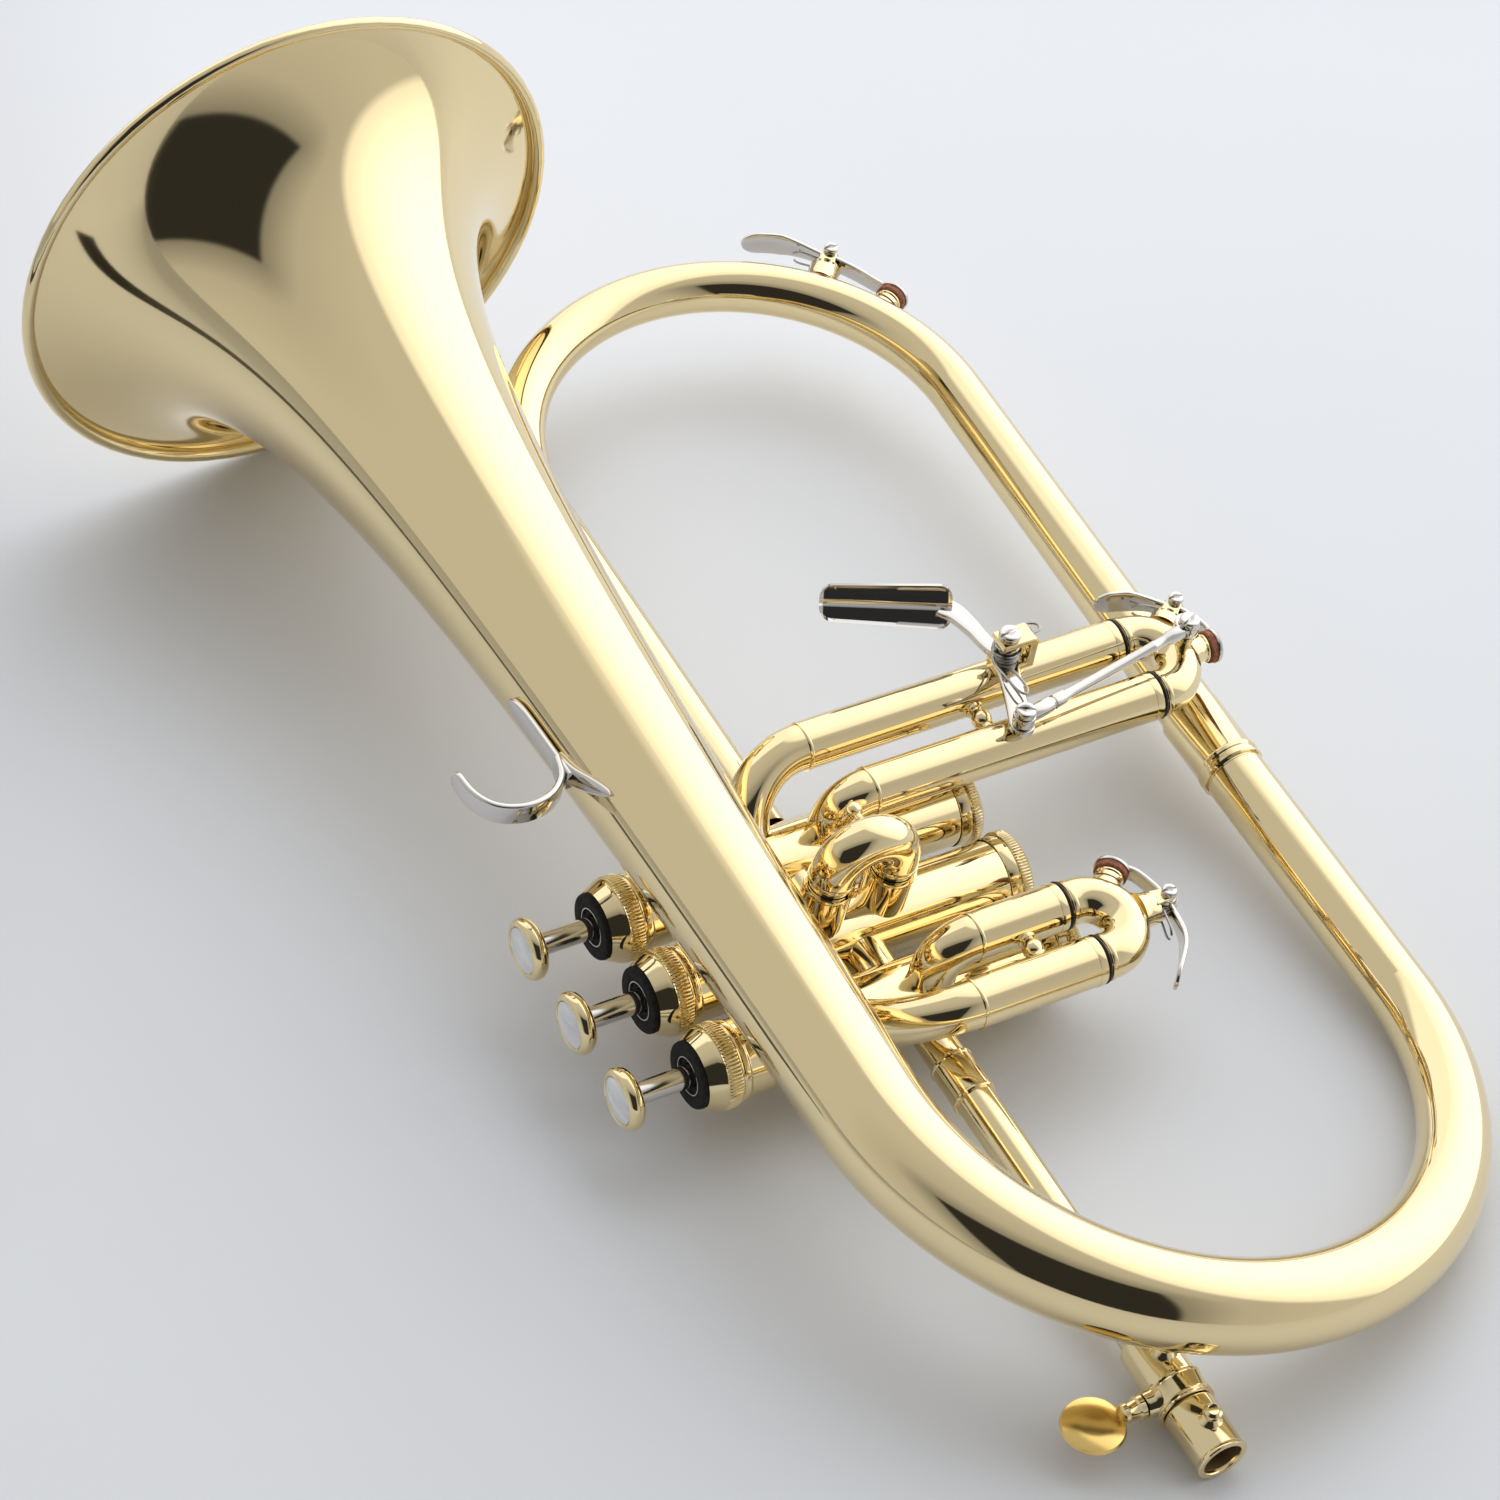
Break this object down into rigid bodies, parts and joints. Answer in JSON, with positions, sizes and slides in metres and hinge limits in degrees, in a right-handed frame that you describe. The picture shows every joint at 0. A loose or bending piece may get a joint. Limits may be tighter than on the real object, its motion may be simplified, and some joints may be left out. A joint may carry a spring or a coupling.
{
  "type": "flugelhorn",
  "caption": "Three-valve flugelhorn with a wide flared bell, conical bows, a third-slide trigger, water keys and a finger hook.",
  "frame": {"origin": "middle of the flat foot of the middle valve's bottom cap", "axes": "+X along the valve row to the bell mouth, +Y along the valves to the finger buttons, +Z to the right side of the horn (up as it lies)"},
  "size_m": [0.4142, 0.2468, 0.1524],
  "materials": {
    "lacquered_brass": "mirror polished brass under clear lacquer",
    "nickel_plate": "polished nickel plate",
    "spring_steel": "drawn spring wire",
    "black_felt": "pressed felt",
    "black_rubber": "satin rubber",
    "natural_cork": "matt terracotta coloured cork composition",
    "button_pearl": "pearly gloss with soft grey figure"
  },
  "bodies": {
    "horn": {"bell": "lacquered_brass", "back_bow": "lacquered_brass", "lower_branch": "lacquered_brass", "lower_branch_ferrule": "lacquered_brass", "front_bow": "lacquered_brass", "mouthpipe": "lacquered_brass", "mouthpipe_ferrule": "lacquered_brass", "mouthpiece_receiver": "lacquered_brass", "receiver_brace": "lacquered_brass", "third_slide_rear_sleeve": "lacquered_brass", "third_slide_front_sleeve": "lacquered_brass", "first_slide_front_sleeve": "lacquered_brass", "first_slide_rear_sleeve": "lacquered_brass", "third_slide_brace": "lacquered_brass", "first_slide_brace": "lacquered_brass", "bell_brace_front": "lacquered_brass", "bell_brace_rear": "lacquered_brass", "finger_hook": "nickel_plate", "trigger_bracket": "lacquered_brass", "first_valve_casing": "lacquered_brass", "first_top_cap": "lacquered_brass", "first_bottom_cap": "lacquered_brass", "first_cap_felt": "black_felt", "first_valve_spring": "spring_steel", "second_valve_casing": "lacquered_brass", "second_top_cap": "lacquered_brass", "second_bottom_cap": "lacquered_brass", "second_cap_felt": "black_felt", "second_valve_spring": "spring_steel", "third_valve_casing": "lacquered_brass", "third_top_cap": "lacquered_brass", "third_bottom_cap": "lacquered_brass", "third_cap_felt": "black_felt", "third_valve_spring": "spring_steel"},
    "first_valve": {"first_piston": "nickel_plate", "first_finger_button": "lacquered_brass", "first_button_pearl": "button_pearl"},
    "second_valve": {"second_piston": "nickel_plate", "second_finger_button": "lacquered_brass", "second_button_pearl": "button_pearl"},
    "third_valve": {"third_piston": "nickel_plate", "third_finger_button": "lacquered_brass", "third_button_pearl": "button_pearl"},
    "first_slide": {"first_slide_crook": "lacquered_brass", "first_slide_rear_o_ring": "black_rubber", "first_slide_front_o_ring": "black_rubber"},
    "second_slide": {"second_slide_crook": "lacquered_brass"},
    "third_slide": {"third_slide_crook": "lacquered_brass", "third_slide_rear_o_ring": "black_rubber", "third_slide_front_o_ring": "black_rubber"},
    "tuning_tube": {"tuning_shank": "lacquered_brass"},
    "lock_screw": {"lock_screw": "lacquered_brass"},
    "trigger_lever": {"trigger_lever": "nickel_plate"},
    "link_rod": {"trigger_link_rod": "nickel_plate"},
    "front_key": {"front_key_lever": "nickel_plate", "front_key_cork": "natural_cork"},
    "first_key": {"first_key_lever": "nickel_plate", "first_key_cork": "natural_cork"},
    "third_key": {"third_key_lever": "nickel_plate", "third_key_cork": "natural_cork"}
  },
  "joints": [
    {"name": "first_valve_press", "type": "slide", "parent": "horn", "child": "first_valve", "axis": [0, -1, 0], "range_m": [0, 0.0143], "stiffness_N_per_m": 120, "springref_m": -0.006, "deforming": ["first_valve_spring"]},
    {"name": "second_valve_press", "type": "slide", "parent": "horn", "child": "second_valve", "axis": [0, -1, 0], "range_m": [0, 0.0143], "stiffness_N_per_m": 120, "springref_m": -0.006, "deforming": ["second_valve_spring"]},
    {"name": "third_valve_press", "type": "slide", "parent": "horn", "child": "third_valve", "axis": [0, -1, 0], "range_m": [0, 0.0143], "stiffness_N_per_m": 120, "springref_m": -0.006, "deforming": ["third_valve_spring"]},
    {"name": "first_slide_pull", "type": "slide", "parent": "horn", "child": "first_slide", "axis": [0, -1, 0], "range_m": [0, 0.018]},
    {"name": "second_slide_pull", "type": "slide", "parent": "horn", "child": "second_slide", "axis": [0, -0.1044, 0.9945], "range_m": [0, 0.006]},
    {"name": "trigger_pull", "type": "hinge", "parent": "horn", "child": "trigger_lever", "pos_m": [0.0438, -0.0176, 0.0301], "axis": [0, 0, 1], "range_deg": [0, 30]},
    {"name": "third_slide_push", "type": "slide", "parent": "horn", "child": "third_slide", "axis": [0, -1, 0], "range_m": [0, 0.0123]},
    {"name": "link_rod_swing", "type": "hinge", "parent": "trigger_lever", "child": "link_rod", "pos_m": [0.0218, -0.0097, 0.0308], "axis": [0, 0, 1], "range_deg": [-30.5, 0]},
    {"name": "tuning_tube_pull", "type": "slide", "parent": "horn", "child": "tuning_tube", "axis": [-1, 0, 0], "range_m": [0, 0.01]},
    {"name": "lock_screw_turn", "type": "hinge", "parent": "horn", "child": "lock_screw", "pos_m": [-0.152, 0.0697, 0], "axis": [0, 1, 0], "range_deg": [0, 180]},
    {"name": "front_key_open", "type": "hinge", "parent": "horn", "child": "front_key", "pos_m": [0.2114, -0.06563, 0], "axis": [0, 0, 1], "range_deg": [0, 12]},
    {"name": "first_key_open", "type": "hinge", "parent": "first_slide", "child": "first_key", "pos_m": [-0.03628, -0.0185, 0.019], "axis": [0, 0, -1], "range_deg": [0, 12]},
    {"name": "third_key_open", "type": "hinge", "parent": "third_slide", "child": "third_key", "pos_m": [0.04738, -0.07299, 0.019], "axis": [0, 0, 1], "range_deg": [0, 12]}
  ],
  "couplings": [
    {"joint": "third_slide_push", "follows": "trigger_pull", "m_per_rad": 0.0231},
    {"joint": "link_rod_swing", "follows": "trigger_pull", "ratio": -1}
  ]
}
